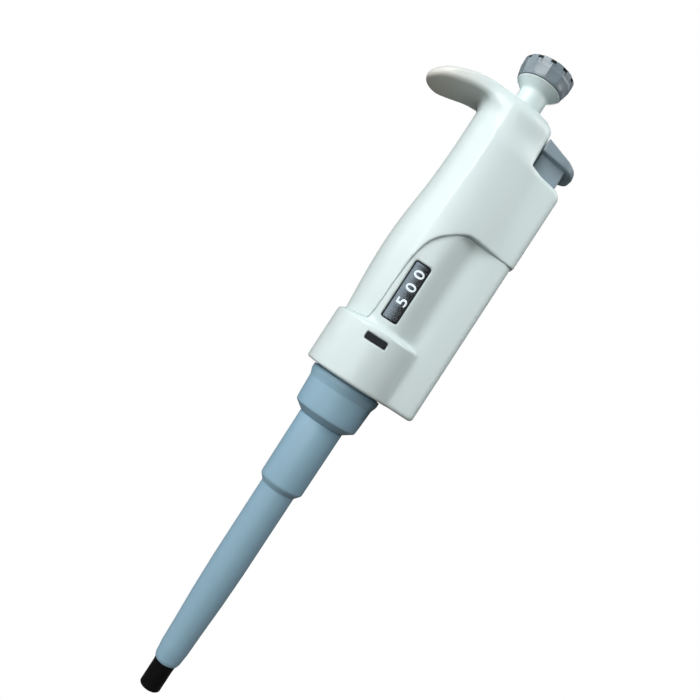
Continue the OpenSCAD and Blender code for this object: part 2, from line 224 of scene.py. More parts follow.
def field_mesh(field, low, high, cell):
    """Surface net of field = 0: one vertex in each cell the surface crosses, pulled onto the surface."""
    axes = [np.arange(a - 2 * cell, b + 2.5 * cell, cell) for a, b in zip(low, high)]
    grid = np.meshgrid(*axes, indexing="ij")
    values = field(*grid)
    inside = values < 0
    corners = [(i, j, k) for i in (0, 1) for j in (0, 1) for k in (0, 1)]
    nx, ny, nz = (n - 1 for n in values.shape)
    count = sum(inside[i:nx + i, j:ny + j, k:nz + k].astype(np.int8) for i, j, k in corners)
    cells = np.argwhere((count > 0) & (count < 8))
    index = np.full((nx, ny, nz), -1, np.int64)
    index[tuple(cells.T)] = np.arange(len(cells))
    total = np.zeros((len(cells), 3))
    hits = np.zeros(len(cells))
    for a in corners:
        for axis in range(3):
            if a[axis]:
                continue
            b = list(a)
            b[axis] = 1
            va = values[tuple((cells + a).T)]
            vb = values[tuple((cells + b).T)]
            crossed = (va < 0) != (vb < 0)
            t = np.where(crossed, va / np.where(crossed, va - vb, 1), 0)
            at = np.array(a, float) + np.zeros((len(cells), 3))
            at[:, axis] += t
            total += at * crossed[:, None]
            hits += crossed
    points = np.array([ax[0] for ax in axes]) + (cells + total / hits[:, None]) * cell
    quads = []
    for axis in range(3):
        u, v = (axis + 1) % 3, (axis + 2) % 3
        here = np.take(inside, range(values.shape[axis] - 1), axis=axis)
        there = np.take(inside, range(1, values.shape[axis]), axis=axis)
        edges = np.argwhere(here != there)
        inner = (edges[:, u] > 0) & (edges[:, v] > 0)
        inner &= (edges[:, u] < values.shape[u] - 1) & (edges[:, v] < values.shape[v] - 1)
        edges = edges[inner]
        ring = []
        for du, dv in ((-1, -1), (0, -1), (0, 0), (-1, 0)):
            at = edges.copy()
            at[:, u] += du
            at[:, v] += dv
            ring.append(index[tuple(at.T)])
        quad = np.stack(ring, axis=1)
        outward = here[tuple(edges.T)]
        quad[~outward] = quad[~outward][:, ::-1]
        quads.append(quad)
    quads = np.vstack(quads)
    points = project(field, points, cell, 3)
    for _ in range(2):
        sums = np.zeros_like(points)
        near = np.zeros(len(points))
        for a, b in ((0, 1), (1, 2), (2, 3), (3, 0)):
            for p, q in ((a, b), (b, a)):
                np.add.at(sums, quads[:, p], points[quads[:, q]])
                np.add.at(near, quads[:, p], 1)
        points = 0.5 * points + 0.5 * sums / near[:, None]
        points = project(field, points, cell, 2)
    return points, quads


def lathe(name, profile, body, steps=128, wave=None):
    """A closed profile of radius and height, turned about Z. wave(r, z, angle) may move each point."""
    angles = 2 * np.pi * np.arange(steps) / steps
    rings = []
    for a in angles:
        pts = [wave(r, z, a) if wave else (r, z) for r, z in profile]
        rings.append([(r * math.cos(a), r * math.sin(a), z) for r, z in pts])
    n = len(profile)
    vertices = [p for ring in rings for p in ring]
    faces = []
    for i in range(steps):
        j = (i + 1) % steps
        for k in range(n):
            m = (k + 1) % n
            faces.append((i * n + k, j * n + k, j * n + m, i * n + m))
    return make_object(name, vertices, faces, body)


def soft_profile(points, arc_steps=5):
    """Points (r, z, corner radius) as a closed outline with round corners."""
    out = []
    n = len(points)
    for i in range(n):
        p = np.array(points[i][:2], float)
        a = np.array(points[i - 1][:2], float) - p
        b = np.array(points[(i + 1) % n][:2], float) - p
        la, lb = np.linalg.norm(a), np.linalg.norm(b)
        a, b = a / la, b / lb
        corner = points[i][2]
        cos_angle = float(np.clip(a @ b, -1, 1))
        half = math.acos(cos_angle) / 2
        if corner <= 0 or half > math.pi / 2 - 0.02:
            out.append(tuple(p))
            continue
        back = min(corner / math.tan(half), 0.45 * la, 0.45 * lb)
        r = back * math.tan(half)
        centre = p + (a + b) / np.linalg.norm(a + b) * (r / math.sin(half))
        start, end = p + a * back - centre, p + b * back - centre
        turn = math.atan2(start[0] * end[1] - start[1] * end[0], start @ end)
        for s in range(arc_steps + 1):
            t = turn * s / arc_steps
            c, d = math.cos(t), math.sin(t)
            out.append((centre[0] + c * start[0] - d * start[1], centre[1] + d * start[0] + c * start[1]))
    return out


# ---------------------------------------------------------------- materials


def plastic(name, color, roughness, mottle=0.04, grain=900.0, bump=0.02, coat=0.0, ior=1.5,
            subsurface=0.0, painted_glow=0.0, painted_hook_warmth=None):
    """Moulded plastic: slight colour drift, uneven gloss and a fine moulded skin.

    The colour given for the finger hook is a warm tint painted along it: painted light, in place of warm
    light reflected onto the hook."""
    material = bpy.data.materials.new(name)
    material.use_nodes = True
    nodes, links = material.node_tree.nodes, material.node_tree.links
    shader = nodes["Principled BSDF"]
    where = nodes.new("ShaderNodeTexCoord")
    drift = nodes.new("ShaderNodeTexNoise")
    drift.inputs["Scale"].default_value = 35.0
    drift.inputs["Detail"].default_value = 3.0
    links.new(where.outputs["Object"], drift.inputs["Vector"])
    tint = nodes.new("ShaderNodeMix")
    tint.data_type = "RGBA"
    dark = [c * (1 - mottle) for c in color]
    light = [min(1.0, c * (1 + mottle)) for c in color]
    tint.inputs["A"].default_value = (*dark, 1)
    tint.inputs["B"].default_value = (*light, 1)
    links.new(drift.outputs["Fac"], tint.inputs["Factor"])
    links.new(tint.outputs["Result"], shader.inputs["Base Color"])
    # painted light: the colour turns warmer towards the hook's tip, for warm light reflected onto it
    if painted_hook_warmth:
        apart = nodes.new("ShaderNodeSeparateXYZ")
        links.new(where.outputs["Object"], apart.inputs["Vector"])
        reach = nodes.new("ShaderNodeMapRange")
        reach.interpolation_type = "SMOOTHSTEP"
        reach.inputs["From Min"].default_value = HOOK_ROOT_X * MM
        reach.inputs["From Max"].default_value = HOOK_TIP_X * MM
        links.new(apart.outputs["X"], reach.inputs["Value"])
        painted_warmth = nodes.new("ShaderNodeMix")
        painted_warmth.data_type = "RGBA"
        painted_warmth.inputs["B"].default_value = (*painted_hook_warmth, 1)
        links.new(reach.outputs["Result"], painted_warmth.inputs["Factor"])
        links.new(tint.outputs["Result"], painted_warmth.inputs["A"])
        links.new(painted_warmth.outputs["Result"], shader.inputs["Base Color"])
    skin = nodes.new("ShaderNodeTexNoise")
    skin.inputs["Scale"].default_value = grain
    skin.inputs["Detail"].default_value = 2.0
    links.new(where.outputs["Object"], skin.inputs["Vector"])
    gloss = nodes.new("ShaderNodeMapRange")
    gloss.inputs["To Min"].default_value = max(0.02, roughness - 0.06)
    gloss.inputs["To Max"].default_value = roughness + 0.06
    links.new(drift.outputs["Fac"], gloss.inputs["Value"])
    links.new(gloss.outputs["Result"], shader.inputs["Roughness"])
    relief = nodes.new("ShaderNodeBump")
    relief.inputs["Strength"].default_value = bump
    relief.inputs["Distance"].default_value = 0.0002
    links.new(skin.outputs["Fac"], relief.inputs["Height"])
    links.new(relief.outputs["Normal"], shader.inputs["Normal"])
    shader.inputs["IOR"].default_value = ior
    shader.inputs["Coat Weight"].default_value = coat
    shader.inputs["Coat Roughness"].default_value = 0.12
    # painted light: the plastic glows by this much, though it is no lamp
    if painted_glow:
        shader.inputs["Emission Color"].default_value = (*color, 1)
        shader.inputs["Emission Strength"].default_value = painted_glow
    if subsurface:
        shader.inputs["Subsurface Weight"].default_value = subsurface
        shader.inputs["Subsurface Radius"].default_value = (0.0012, 0.0012, 0.0012)
        shader.inputs["Subsurface Scale"].default_value = 1.0
    return material


def metal(name, color, roughness, streak=(1.0, 1.0, 60.0)):
    """Turned metal: fine rings around the axis in its colour and roughness."""
    material = bpy.data.materials.new(name)
    material.use_nodes = True
    nodes, links = material.node_tree.nodes, material.node_tree.links
    shader = nodes["Principled BSDF"]
    shader.inputs["Metallic"].default_value = 1.0
    where = nodes.new("ShaderNodeTexCoord")
    stretch = nodes.new("ShaderNodeMapping")
    stretch.inputs["Scale"].default_value = streak
    links.new(where.outputs["Object"], stretch.inputs["Vector"])
    rings = nodes.new("ShaderNodeTexNoise")
    rings.inputs["Scale"].default_value = 160.0
    rings.inputs["Detail"].default_value = 4.0
    links.new(stretch.outputs["Vector"], rings.inputs["Vector"])
    tint = nodes.new("ShaderNodeMix")
    tint.data_type = "RGBA"
    tint.inputs["A"].default_value = (*[c * 0.85 for c in color], 1)
    tint.inputs["B"].default_value = (*color, 1)
    links.new(rings.outputs["Fac"], tint.inputs["Factor"])
    links.new(tint.outputs["Result"], shader.inputs["Base Color"])
    gloss = nodes.new("ShaderNodeMapRange")
    gloss.inputs["To Min"].default_value = roughness - 0.08
    gloss.inputs["To Max"].default_value = roughness + 0.1
    links.new(rings.outputs["Fac"], gloss.inputs["Value"])
    links.new(gloss.outputs["Result"], shader.inputs["Roughness"])
    return material


def clear_pane(name):
    """Clear moulded pane: it lets straight light through, adds a soft reflection, and glows as a painted
    reflection towards its left edge.
    """
    material = bpy.data.materials.new(name)
    material.use_nodes = True
    nodes, links = material.node_tree.nodes, material.node_tree.links
    nodes.remove(nodes["Principled BSDF"])
    out = nodes["Material Output"]
    through = nodes.new("ShaderNodeBsdfTransparent")
    through.inputs["Color"].default_value = (0.93, 0.95, 0.96, 1)
    shine = nodes.new("ShaderNodeBsdfGlossy")
    haze = nodes.new("ShaderNodeTexNoise")
    haze.inputs["Scale"].default_value = 60.0
    gloss = nodes.new("ShaderNodeMapRange")
    gloss.inputs["To Min"].default_value = 0.04
    gloss.inputs["To Max"].default_value = 0.12
    links.new(haze.outputs["Fac"], gloss.inputs["Value"])
    links.new(gloss.outputs["Result"], shine.inputs["Roughness"])
    fresnel = nodes.new("ShaderNodeFresnel")
    fresnel.inputs["IOR"].default_value = 1.2
    mix = nodes.new("ShaderNodeMixShader")
    links.new(fresnel.outputs["Fac"], mix.inputs["Fac"])
    links.new(through.outputs["BSDF"], mix.inputs[1])
    links.new(shine.outputs["BSDF"], mix.inputs[2])
    # painted reflection: the pane glows, more towards its left edge, in place of the studio's light reflected
    # there
    painted_reflection = nodes.new("ShaderNodeEmission")
    painted_reflection.inputs["Color"].default_value = (0.68, 0.86, 1.0, 1)
    where = nodes.new("ShaderNodeTexCoord")
    across = nodes.new("ShaderNodeSeparateXYZ")
    links.new(where.outputs["Object"], across.inputs["Vector"])
    painted_reflection_amount = nodes.new("ShaderNodeMapRange")
    painted_reflection_amount.interpolation_type = "SMOOTHSTEP"
    painted_reflection_amount.inputs["From Min"].default_value = 0.8 * LENS_LOW[0] * MM
    painted_reflection_amount.inputs["From Max"].default_value = 0.6 * LENS_HIGH[0] * MM
    painted_reflection_amount.inputs["To Min"].default_value = 0.15
    painted_reflection_amount.inputs["To Max"].default_value = 0.0
    links.new(across.outputs["X"], painted_reflection_amount.inputs["Value"])
    links.new(painted_reflection_amount.outputs["Result"], painted_reflection.inputs["Strength"])
    with_painted_reflection = nodes.new("ShaderNodeAddShader")
    links.new(mix.outputs["Shader"], with_painted_reflection.inputs[0])
    links.new(painted_reflection.outputs["Emission"], with_painted_reflection.inputs[1])
    links.new(with_painted_reflection.outputs["Shader"], out.inputs["Surface"])
    return material


# the body's white turns warmer along the finger hook: painted light, for warm light reflected there
WHITE = plastic("body_white", (0.74, 0.865, 0.86), 0.34, mottle=0.012, bump=0.012, coat=0.12, subsurface=0.15,
                painted_hook_warmth=(0.79, 0.785, 0.735))
BLUE = plastic("ejector_blue", (0.295, 0.482, 0.605), 0.40, mottle=0.04, bump=0.05)
RING_GREY = plastic("ring_grey", (0.235, 0.295, 0.335), 0.34, mottle=0.08, bump=0.04, coat=0.15)
THUMB_GREY = plastic("thumb_grey", (0.26, 0.34, 0.39), 0.38, mottle=0.04, bump=0.04)
NOZZLE = plastic("nozzle_black", (0.004, 0.004, 0.005), 0.45, mottle=0.2, bump=0.08, ior=1.25)
BLACK = plastic("insert_black", (0.006, 0.011, 0.013), 0.35, mottle=0.2, bump=0.05, ior=1.3)
DRUM = plastic("drum_black", (0.016, 0.020, 0.025), 0.38, mottle=0.15, bump=0.0)
# the figures glow a little: painted light that lifts them out of the shade in the window
DIGIT = plastic("digit_white", (0.90, 0.94, 0.96), 0.5, mottle=0.03, bump=0.02, painted_glow=0.5)
INNER_WHITE = plastic("inner_white", (0.75, 0.75, 0.72), 0.45)
INNER_GREY = plastic("inner_grey", (0.10, 0.11, 0.12), 0.45)
RUBBER = plastic("rubber", (0.02, 0.02, 0.02), 0.6, mottle=0.2, bump=0.1)
STEEL = metal("steel", (0.55, 0.56, 0.57), 0.3)
BRASS = metal("brass", (0.66, 0.50, 0.22), 0.3)
LENS = clear_pane("lens_clear")

SLOT_MATERIALS = {
    "body_white": WHITE, "ejector_blue": BLUE, "ring_grey": RING_GREY, "thumb_grey": THUMB_GREY,
    "nozzle_black": NOZZLE, "insert_black": BLACK, "drum_black": DRUM, "lens_clear": LENS,
    "inner_white": INNER_WHITE, "inner_grey": INNER_GREY, "steel": STEEL, "brass": BRASS, "rubber": RUBBER,
}
for part in frame["record"]["subparts"]:
    cad_mesh = frame["nodes"][part["node"]].data
    cad_mesh.materials.clear()
    cad_mesh.materials.append(SLOT_MATERIALS[part["material_slot"]])


def finish_piece(piece, slot, *nodes):
    """Give a piece its material, and have it stand in for the CAD nodes named."""
    piece.data.materials.append(SLOT_MATERIALS[slot])
    if nodes:
        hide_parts(*nodes)
    return piece


# ---------------------------------------------------------------- white shells

# radius and centre of the grip against height
grip_radius = smooth_curve([
    (110, 13.2), (133, 13.3), (141, 13.95), (148, 14.35), (154, 14.55), (160, 14.6), (167, 14.2),
    (173, 13.65), (179, 13.0), (187, 12.35), (194, 11.85), (200, DOME_R), (220, DOME_R)], 2.0)
grip_centre = smooth_curve([(110, 0), (180, 0), (199, DOME_X), (220, DOME_X)], 3.0)
# how far the front stands out, from the flat display field to the fin's side
field_depth = smooth_curve([
    (-30, FIELD_Y), (3.4, FIELD_Y), (11.0, FIN_HALF - 0.8), (40, FIN_HALF - 0.8)], 1.4)
# height of the upper fin's end
fin_top = smooth_curve([(-10, 199.4), (11, 199.4), (21, 197.7), (30, 196.2)], 0.8)
# line between the two shells, seen from the front: along the display, over it, and across the fin
PARTING = smooth_path([
    (-60, 132.5), (-6.4, 132.5), (-5.1, 134.0), (-4.9, 145), (-4.5, 153), (-4.1, 157.0), (-3.3, 160.6),
    (-1.8, 163.6), (1.2, 166.7), (5.0, 169.4), (7.6, 170.8), (22, 169.9), (60, 168.5)])


def grip(x, y, z):
    """Round grip with the dome on top."""
    radial = np.hypot(x - grip_centre(z), y) - grip_radius(z)
    return round_edge(radial, z - DOME_TOP, 5.0)


def collar(x, y, z):
    """Round collar at the housing's foot."""
    radial = np.hypot(x, y) - COLLAR_R
    middle, half = (COLLAR_TOP + HOUSING_LOW[2]) / 2, (COLLAR_TOP - HOUSING_LOW[2]) / 2
    return round_edge(radial, np.abs(z - middle) - half, 0.9)


def crown(x):
    """How far the fin's sides fall away towards its edge."""
    return CROWN_DEPTH * np.clip((x - CROWN_X) / (FIN_X - CROWN_X), 0, 1.2) ** 2


def lower_fin(x, y, z):
    """Fin of the lower housing, on the +X side."""
    side = round_edge(x - FIN_X, HOUSING_LOW[2] - z, 1.6)
    return np.maximum(round_edge(side, np.abs(y) - FIN_HALF + crown(x), 1.8), -x)


def upper_fin(x, y, z):
    """Fin of the upper handle, which stands a little proud of the lower one."""
    side = round_edge(x - UPPER_FIN_X, z - fin_top(x), 2.6)
    return np.maximum(round_edge(side, np.abs(y) - UPPER_FIN_HALF + crown(x), 1.9), -x)


def dome_back(x, y, z):
    """The square back of the dome, behind the thumb plate."""
    side = round_edge(x - DOME_BACK_X, z - DOME_BACK_TOP, 4.0)
    block = round_edge(side, np.abs(y) - DOME_BACK_HALF, 2.5)
    return np.maximum(block, -x)


# height of the hook's middle and half of its thickness, against X
hook_middle = smooth_curve([
    (-40, 207.2), (-32, 208.7), (-28.5, 209.4), (-23.8, 211.0), (-17.5, 212.7), (-11, 213.0), (0, 210)], 1.2)
hook_thick = smooth_curve([(-40, 1.4), (-31, 1.6), (-27, 1.9), (-22, 2.15), (-17, 2.25), (0, 2.3)], 1.5)


def hook(x, y, z):
    """Finger hook: a bent paddle with a round tip."""
    reach = x - (HOOK_TIP_X + HOOK_TIP_R)
    tip = np.hypot(np.minimum(reach, 0), y * 1.06) - HOOK_TIP_R
    plan = smooth_max(tip, np.abs(y) - 9.6, 2.0)
    flat = np.abs(z - hook_middle(x)) - hook_thick(x)
    return smooth_max(round_edge(plan, flat * 0.96, 1.6), x + 3, 1.0)


def cavity(x, y, z):
    """The hollow that holds the counter, the nut and the ejector's rod."""
    radial = np.hypot(x, y) - CAVITY_R
    front = -y - (field_depth(x) - FRONT_WALL)
    round_part = np.maximum(radial, np.where(z < SEAM_Z, front, NO_LIMIT))
    round_part = np.maximum(round_part, np.maximum(LEDGE_Z - z, z - SEAM_Z))
    upper = np.maximum(np.hypot(x, y) - UPPER_ROOM_R, np.maximum(SEAM_Z - 1 - z, z - UPPER_ROOM_TOP))
    mouth = np.maximum(np.hypot(x, y) - MOUTH_R, np.maximum(z - MOUTH_TOP, HOUSING_LOW[2] - 1.6 - z))
    throat = np.maximum(np.hypot(x, y) - THROAT_R, np.maximum(z - LEDGE_Z - 0.5, MOUTH_TOP - 1 - z))
    fin_room = np.maximum(np.abs(y) - FIN_ROOM_HALF, np.maximum(-x, x - FIN_ROOM_X))
    fin_room = np.maximum(fin_room, np.maximum(FIN_ROOM_LOW - z, z - FIN_ROOM_HIGH))
    return np.minimum.reduce([round_part, upper, mouth, throat, fin_room])


def dish(x, y, z):
    """The dished top around the neck, with the neck's hole and the bush's seat under it."""
    r = np.hypot(x, y)
    side = DISH_SIDE[0] * (r - DISH_R) + DISH_SIDE[1] * (z - DISH_Z)
    cone = np.maximum(np.maximum(side, DISH_Z - z), r - DISH_RIM_R)
    neck = np.maximum(r - NECK_HOLE_R, SEAT_LOW - z)
    seat = np.maximum(r - SEAT_R, np.maximum(SEAT_LOW - z, z - SEAT_TOP))
    return np.minimum.reduce([cone, neck, seat])


TABLE_LOW = (-42.0, 108.0)
TABLE_STEP = 0.1
table_x = TABLE_LOW[0] + TABLE_STEP * np.arange(800)
table_z = TABLE_LOW[1] + TABLE_STEP * np.arange(1200)
TABLE = path_distance(*np.meshgrid(table_x, table_z, indexing="ij"), PARTING)


def parting(x, z):
    """Distance to the parting line, read from a table: positive above and to the left of it."""
    u = np.clip((x - TABLE_LOW[0]) / TABLE_STEP, 0, TABLE.shape[0] - 1.01)
    v = np.clip((z - TABLE_LOW[1]) / TABLE_STEP, 0, TABLE.shape[1] - 1.01)
    i, j = u.astype(int), v.astype(int)
    fu, fv = u - i, v - j
    near = TABLE[i, j] * (1 - fv) + TABLE[i, j + 1] * fv
    far = TABLE[i + 1, j] * (1 - fv) + TABLE[i + 1, j + 1] * fv
    return near * (1 - fu) + far * fu


# half of the gap at the parting line, and how soft its lips are: it closes towards the display
parting_gap = smooth_curve([(-40, -0.04), (4, -0.04), (10, 0.03), (30, 0.04)], 1.0)
parting_lip = smooth_curve([(-40, 0.2), (-2, 0.2), (4, 0.28), (30, 0.4)], 1.0)


def upper_handle_field(x, y, z):
    """Grip, fin, hook and dome as one soft body, less the dish, the web's slot and the hollow."""
    shape = smooth_min(grip(x, y, z), upper_fin(x, y, z), 8.0)
    shape = smooth_min(shape, hook(x, y, z), 4.5)
    shape = smooth_min(shape, dome_back(x, y, z), 5.0)
    shape = smooth_max(shape, -dish(x, y, z), 0.7)
    shape = smooth_max(shape, np.minimum(z - fin_top(x) + 0.1, x - DOME_BACK_X), 0.4)
    slot_plan = np.maximum(DOME_BACK_X + 0.1 - x, x - WEB_SLOT_X)
    slot_plan = np.maximum(slot_plan, np.abs(y) - WEB_HALF - 0.25)
    web_slot = np.maximum(slot_plan, np.maximum(WEB_SLOT_LOW - z, z - WEB_SLOT_HIGH))
    shape = smooth_max(shape, -web_slot, 0.3)
    shape = np.maximum(shape, -cavity(x, y, z))
    return smooth_max(shape, parting_gap(x) - parting(x, z), parting_lip(x))


def window(x, y, z, half_x, low, high, corner):
    """A rectangle in X and Z with round corners, endless in Y."""
    return round_edge(np.abs(x) - half_x, np.abs(z - (low + high) / 2) - (high - low) / 2, corner)


WINDOW_HALF = LENS_HIGH[0] - 0.1
WINDOW_LOW, WINDOW_HIGH = LENS_LOW[2] + 0.15, LENS_HIGH[2] - 0.15
SLOT_X = (SLOT_LOW[0] + SLOT_HIGH[0]) / 2
SLOT_HALF = (SLOT_HIGH[0] - SLOT_LOW[0]) / 2
SLOT_Z = (SLOT_LOW[2] + SLOT_HIGH[2]) / 2
SLOT_HOLE_TALL = 2.24


def slot_hole(x, z, grow):
    """Outline of the slot under the display, grown all round."""
    across = np.abs(x - SLOT_X) - SLOT_HALF - grow
    return round_edge(across, np.abs(z - SLOT_Z) - SLOT_HOLE_TALL / 2 - grow, 0.45)


def lower_housing_field(x, y, z):
    """Grip, collar and fin as one body, less the display opening, the slot and the hollow."""
    core = smooth_max(grip(x, y, z), -y - field_depth(x), 0.7)
    shape = smooth_min(core, collar(x, y, z), 2.2)
    shape = smooth_min(shape, lower_fin(x, y, z), 1.0)
    shape = smooth_max(shape, HOUSING_LOW[2] - z, 0.8)
    opening = np.maximum(window(x, y, z, WINDOW_HALF, WINDOW_LOW, WINDOW_HIGH, 0.8), y + 10)
    shape = smooth_max(shape, -opening, 0.35)
    slot = np.maximum(slot_hole(x, z, 0.06), y + COLLAR_R - 1.8)
    shape = smooth_max(shape, -slot, 0.25)
    shape = np.maximum(shape, -cavity(x, y, z))
    return smooth_max(shape, parting(x, z) + parting_gap(x), parting_lip(x))


CELL = 0.45
for name, field, low, high in (
    ("lower_housing", lower_housing_field, HOUSING_LOW, HOUSING_HIGH),
    ("upper_handle", upper_handle_field, (HANDLE_LOW[0], -15, 132), HANDLE_HIGH + 1),
):
    points, quads = field_mesh(field, low, high, CELL)
    shell = make_object(name + "_shell", points, quads, "handle")
    finish_piece(shell, "body_white", name)

# ---------------------------------------------------------------- display

FRAME_Y = FIELD_Y - 0.25
FRAME_BACK_Y = 11.7


def frame_field(x, y, z):
    """Thin dark frame between the opening's edge and the pane."""
    outer = window(x, y, z, WINDOW_HALF - 0.05, WINDOW_LOW + 0.05, WINDOW_HIGH - 0.05, 0.75)
    hole = window(x, y, z, WINDOW_HALF - 0.4, WINDOW_LOW + 0.4, WINDOW_HIGH - 0.4, 0.4)
    depth = np.abs(-y - (FRAME_Y + FRAME_BACK_Y) / 2) - (FRAME_Y - FRAME_BACK_Y) / 2
    return smooth_max(round_edge(outer, depth, 0.15), -hole, 0.2)


frame_low = (-WINDOW_HALF, -FRAME_Y, WINDOW_LOW)
frame_high = (WINDOW_HALF, -FRAME_BACK_Y + 0.2, WINDOW_HIGH)
points, quads = field_mesh(frame_field, frame_low, frame_high, 0.2)
finish_piece(make_object("display_surround", points, quads, "handle"), "insert_black")


def rounded_slab(name, x, z, half_x, half_z, y_front, y_back, corner, bevel, body):
    """A slab with round corners in X and Z, with its front edge softened."""
    outline = []
    for cx, cz, start in ((1, 1, 0), (-1, 1, 90), (-1, -1, 180), (1, -1, 270)):
        for i in range(7):
            a = math.radians(start + 15 * i)
            outline.append((cx, cz, math.cos(a), math.sin(a)))
    levels = [(y_back, bevel), (y_back - bevel, 0), (y_front + bevel, 0),
              (y_front + 0.3 * bevel, 0.3 * bevel), (y_front, bevel)]
    vertices, faces = [], []
    n = len(outline)
    for y, inset in levels:
        for cx, cz, dx, dz in outline:
            r = corner - inset
            vertices.append((x + cx * (half_x - corner) + dx * r, y, z + cz * (half_z - corner) + dz * r))
    for level in range(len(levels) - 1):
        for i in range(n):
            j = (i + 1) % n
            faces.append((level * n + i, level * n + j, (level + 1) * n + j, (level + 1) * n + i))
    faces.append(tuple(range(n - 1, -1, -1)))
    faces.append(tuple((len(levels) - 1) * n + i for i in range(n)))
    return make_object(name, vertices, faces, body, smooth=False)


WINDOW_Z = (WINDOW_LOW + WINDOW_HIGH) / 2
lens = rounded_slab("display_pane", 0, WINDOW_Z, WINDOW_HALF - 0.45, (WINDOW_HIGH - WINDOW_LOW) / 2 - 0.45,
                    -FRAME_Y + 0.15, -12.2, 0.38, 0.1, "handle")
finish_piece(lens, "lens_clear", "display_lens")

plug = rounded_slab("slot_insert", SLOT_X, SLOT_Z, SLOT_HALF, 1.1, -COLLAR_R + 0.35, -COLLAR_R + 1.75,
                    0.42, 0.1, "handle")
finish_piece(plug, "insert_black", "slot_plug")

# ---------------------------------------------------------------- numbers on the drums

DIGIT_TALL = 3.35
DIGIT_WIDE = 2.5
# width of a full figure as a share of its height, weight added to its strokes, and rows it is cut in
USUAL_WIDTH = 0.62
STROKE_GROW = 0.012
FIGURE_ROWS = 12
FIGURE_SINK, FIGURE_RISE = 0.05, 0.03
# angle of the figure in the window, and how far each drum's figures sit above its middle
FACE_ANGLE = -math.pi / 2 + 0.04
BAND_SHIFT = {"thousands_wheel": 0.65, "hundreds_wheel": 0.4, "tens_wheel": 0.8, "units_wheel": 0.75}
SHOWN = {"thousands_wheel": 0, "hundreds_wheel": 5, "tens_wheel": 0, "units_wheel": 0}
TEN_FIGURES = [(place, str(place)) for place in range(10)]
HALF_STEPS = [(place, "05"[place % 2]) for place in range(10)]
# the thousands drum turns half a step from this setting to its limit, so its figure sits close by
PLACED = {"thousands_wheel": [(0.7, "1")], "hundreds_wheel": TEN_FIGURES, "tens_wheel": TEN_FIGURES,
          "units_wheel": HALF_STEPS}
STEP = math.radians(36)


def cut_across(mesh, rows):
    """Cut a flat mesh into rows up its height, so that its long strokes can bend round a drum."""
    tall = [v.co.y for v in mesh.vertices]
    cutter = bmesh.new()
    cutter.from_mesh(mesh)
    for level in np.linspace(min(tall), max(tall), rows + 1)[1:-1]:
        everything = cutter.verts[:] + cutter.edges[:] + cutter.faces[:]
        bmesh.ops.bisect_plane(cutter, geom=everything, plane_co=(0, level, 0), plane_no=(0, 1, 0))
    cutter.to_mesh(mesh)
    cutter.free()


def glyph(text):
    """Outline of a digit as a flat mesh: vertices from 0 to 1 across and up, and faces."""
    curve = bpy.data.curves.new("glyph", "FONT")
    curve.body = text
    curve.size = 1.0
    curve.resolution_u = 4
    curve.offset = STROKE_GROW
    holder = bpy.data.objects.new("glyph", curve)
    bpy.context.scene.collection.objects.link(holder)
    bpy.context.view_layer.update()
    mesh = bpy.data.meshes.new_from_object(holder)
    cut_across(mesh, FIGURE_ROWS)
    points = np.array([v.co[:2] for v in mesh.vertices])
    faces = [tuple(p.vertices) for p in mesh.polygons]
    bpy.data.objects.remove(holder)
    bpy.data.meshes.remove(mesh)
    low, high = points.min(axis=0), points.max(axis=0)
    wide = (high - low)[0] / (high - low)[1]
    return (points - (low + high) / 2) / (high - low), faces, wide


def drum_text(node):
    """Raised white figures round a drum, each read with its top towards -X when it faces front."""
    low, high = box_mm(node)
    band = (low[2] + high[2]) / 2 + BAND_SHIFT[node]
    vertices, faces = [], []
    for place, figure in PLACED[node]:
        points, quads, wide = GLYPHS[figure]
        middle = FACE_ANGLE - STEP * (place - SHOWN[node])
        width = DIGIT_WIDE * min(1.0, wide / USUAL_WIDTH)
        base = len(vertices)
        count = len(points)
        for radius in (DRUM_R - FIGURE_SINK, DRUM_R + FIGURE_RISE):
            for px, py in points:
                a = middle - py * DIGIT_TALL / DRUM_R
                vertices.append((radius * math.cos(a), radius * math.sin(a), band + px * width))
        edges = {}
        for f in quads:
            for edge in zip(f, f[1:] + f[:1]):
                edges[edge] = True
        for f in quads:
            faces.append(tuple(base + count + i for i in f))
            faces.append(tuple(base + i for i in reversed(f)))
        for p, q in edges:
            if (q, p) not in edges:
                faces.append((base + p, base + q, base + count + q, base + count + p))
    return make_object(node + "_figures", vertices, faces, BODY_OF[node], smooth=False)


BODY_OF = {n: b for b, ns in frame["record"]["behaviour"]["bodies"].items() for n in ns}
GLYPHS = {d: glyph(d) for d in "0123456789"}
for node in DRUMS:
    figures = drum_text(node)
    figures.data.materials.append(DIGIT)

# ---------------------------------------------------------------- turned parts

# nozzle with a small lead-in at its mouth
tip = lathe("nozzle_cone", soft_profile([
    (1.2, 0, 0.25), (3.55, 0, 0.35), (3.55, 7.5, 0.3), (3.72, 9.3, 0.2), (3.66, 9.7, 0.1), (4.0, 22, 3),
    (4.4, 33, 3), (4.65, 45, 3), (4.75, 77, 0.5), (6.55, 78.6, 0.5), (6.55, 104, 0.2), (8.6, 104, 0.2),
    (8.6, 106, 0.2), (5.9, 106, 0.2), (5.9, 80, 0.3), (1.2, 80, 0.2)]), "handle")
finish_piece(tip, "nozzle_black", "tip_cone")

sleeve = lathe("ejector_sleeve_skin", soft_profile([
    (3.86, 9.6, 0.1), (4.05, 9.6, 0.1), (4.35, 10.5, 0.8), (4.75, 14.5, 4), (5.0, 22, 8), (5.5, 33, 10),
    (5.78, 45, 10), (5.9, 73.6, 0.5), (7.5, 75.5, 1.6), (7.7, 98.45, 0.15), (7.35, 98.45, 0.1),
    (7.35, 101, 0.1), (6.75, 101, 0.1), (6.75, 76.6, 0.3), (5.0, 73.2, 0.5), (4.85, 45, 2), (4.6, 33, 2),
    (4.15, 22, 2)]), "ejector")
finish_piece(sleeve, "ejector_blue", "ejector_sleeve")

